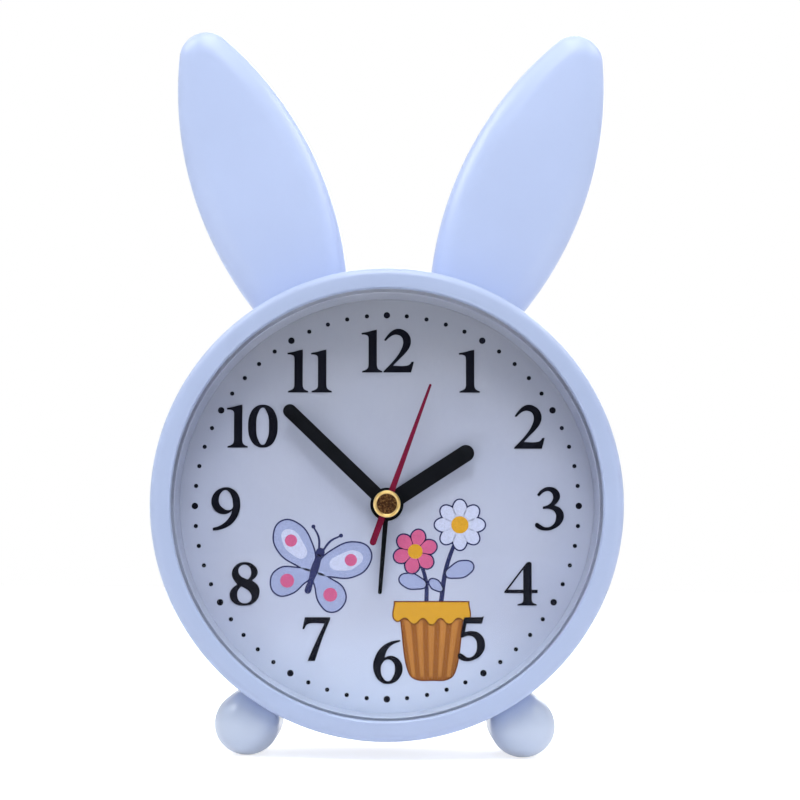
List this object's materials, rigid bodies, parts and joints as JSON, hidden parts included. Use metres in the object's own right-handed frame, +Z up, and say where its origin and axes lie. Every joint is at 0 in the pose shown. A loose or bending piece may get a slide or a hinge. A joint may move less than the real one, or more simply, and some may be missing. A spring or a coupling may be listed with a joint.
{
  "type": "alarm clock",
  "caption": "Child's bedside alarm clock: round lavender drum on rounded feet, upright ears, a clear window over a numbered dial with hands, with knobs, a switch and a battery door behind.",
  "frame": {"origin": "on the table, under the middle of the clock's bounding box", "axes": "+Z up through the ears, +Y from the dial to the back, +X to the right of the dial as it is read"},
  "size_m": [0.108, 0.0452, 0.1716],
  "materials": {
    "shell_plastic": "glossy moulded lavender plastic",
    "clear_window": "clear polished plastic",
    "ring_plastic": "moulded lavender plastic",
    "dial_print": "printed card",
    "inner_plastic": "plain moulded plastic",
    "cover_plastic": "fine matt moulding",
    "knob_plastic": "white moulded plastic",
    "hand_black": "satin black paint",
    "hand_red": "satin dark red paint",
    "hub_brass": "turned brass",
    "gear_plastic": "natural moulded plastic",
    "magnet_grey": "sintered magnet",
    "motor_steel": "plain sheet steel",
    "winding_copper": "enamelled copper wire",
    "board_green": "solder mask",
    "part_black": "black moulded plastic",
    "contact_steel": "plated spring strip",
    "cell_sleeve": "plain sleeve",
    "screw_steel": "plated"
  },
  "bodies": {
    "case": {"front_housing": "shell_plastic", "left_ear": "shell_plastic", "right_ear": "shell_plastic", "left_foot": "shell_plastic", "right_foot": "shell_plastic", "foot_screws": "screw_steel", "lens": "clear_window", "dial_ring": "ring_plastic", "dial_card": "dial_print", "dial_plate": "inner_plastic", "movement_front_plate": "inner_plastic", "movement_rear_case": "inner_plastic", "movement_screws": "screw_steel", "stator": "motor_steel", "coil_bobbin": "gear_plastic", "coil_winding": "winding_copper", "circuit_board": "board_green", "chip": "part_black", "quartz_crystal": "motor_steel", "buzzer": "part_black", "switch_contact": "contact_steel", "alarm_contact_spring": "contact_steel", "battery": "cell_sleeve", "positive_contact": "contact_steel", "negative_contact": "contact_steel", "rear_cover": "cover_plastic", "rear_cover_screws": "screw_steel"},
    "second_hand": {"second_hand": "hand_red", "second_hand_hub": "hub_brass", "second_wheel": "gear_plastic"},
    "minute_hand": {"minute_hand": "hand_black", "minute_pipe": "gear_plastic", "center_wheel": "gear_plastic"},
    "hour_hand": {"hour_hand": "hand_black", "hour_wheel": "gear_plastic"},
    "alarm_hand": {"alarm_hand": "hand_black", "alarm_wheel": "gear_plastic"},
    "motion_wheel": {"motion_wheel": "gear_plastic"},
    "third_wheel": {"third_wheel": "gear_plastic"},
    "intermediate_wheel": {"intermediate_wheel": "gear_plastic"},
    "rotor": {"rotor_pinion": "gear_plastic", "rotor_magnet": "magnet_grey"},
    "time_knob": {"time_knob": "knob_plastic", "time_stem": "gear_plastic"},
    "alarm_knob": {"alarm_knob": "knob_plastic", "alarm_stem": "gear_plastic"},
    "alarm_switch": {"alarm_switch": "knob_plastic"},
    "battery_door": {"battery_door": "cover_plastic"}
  },
  "joints": [
    {"name": "second_hand_spin", "type": "hinge", "parent": "case", "child": "second_hand", "pos_m": [0, 0, 0.05798], "axis": [0, 1, 0], "continuous": true},
    {"name": "minute_hand_spin", "type": "hinge", "parent": "case", "child": "minute_hand", "pos_m": [0, 0, 0.05798], "axis": [0, 1, 0], "continuous": true},
    {"name": "hour_hand_spin", "type": "hinge", "parent": "case", "child": "hour_hand", "pos_m": [0, 0, 0.05798], "axis": [0, 1, 0], "continuous": true},
    {"name": "alarm_hand_spin", "type": "hinge", "parent": "case", "child": "alarm_hand", "pos_m": [0, 0, 0.05798], "axis": [0, 1, 0], "continuous": true},
    {"name": "motion_wheel_spin", "type": "hinge", "parent": "case", "child": "motion_wheel", "pos_m": [-0.00831, 0, 0.06278], "axis": [0, 1, 0], "continuous": true},
    {"name": "third_wheel_spin", "type": "hinge", "parent": "case", "child": "third_wheel", "pos_m": [0.01034, 0, 0.05422], "axis": [0, 1, 0], "continuous": true},
    {"name": "intermediate_wheel_spin", "type": "hinge", "parent": "case", "child": "intermediate_wheel", "pos_m": [-0.00194, 0, 0.06901], "axis": [0, 1, 0], "continuous": true},
    {"name": "rotor_spin", "type": "hinge", "parent": "case", "child": "rotor", "pos_m": [-0.00194, 0, 0.07741], "axis": [0, 1, 0], "continuous": true},
    {"name": "time_knob_spin", "type": "hinge", "parent": "case", "child": "time_knob", "pos_m": [-0.01663, 0, 0.06758], "axis": [0, 1, 0], "continuous": true},
    {"name": "alarm_knob_spin", "type": "hinge", "parent": "case", "child": "alarm_knob", "pos_m": [0.0128, 0, 0.06758], "axis": [0, 1, 0], "continuous": true},
    {"name": "alarm_switch_slide", "type": "slide", "parent": "case", "child": "alarm_switch", "axis": [1, 0, 0], "range_m": [0, 0.004]},
    {"name": "battery_door_pull", "type": "slide", "parent": "case", "child": "battery_door", "axis": [0, 1, 0], "range_m": [0, 0.03]}
  ],
  "couplings": [
    {"joint": "minute_hand_spin", "follows": "second_hand_spin", "ratio": 0.016667},
    {"joint": "hour_hand_spin", "follows": "second_hand_spin", "ratio": 0.0013889},
    {"joint": "motion_wheel_spin", "follows": "second_hand_spin", "ratio": -0.0055556},
    {"joint": "third_wheel_spin", "follows": "second_hand_spin", "ratio": -0.13333},
    {"joint": "intermediate_wheel_spin", "follows": "second_hand_spin", "ratio": -6},
    {"joint": "rotor_spin", "follows": "second_hand_spin", "ratio": 30},
    {"joint": "time_knob_spin", "follows": "second_hand_spin", "ratio": 0.016667},
    {"joint": "alarm_hand_spin", "follows": "alarm_knob_spin", "ratio": -1}
  ]
}
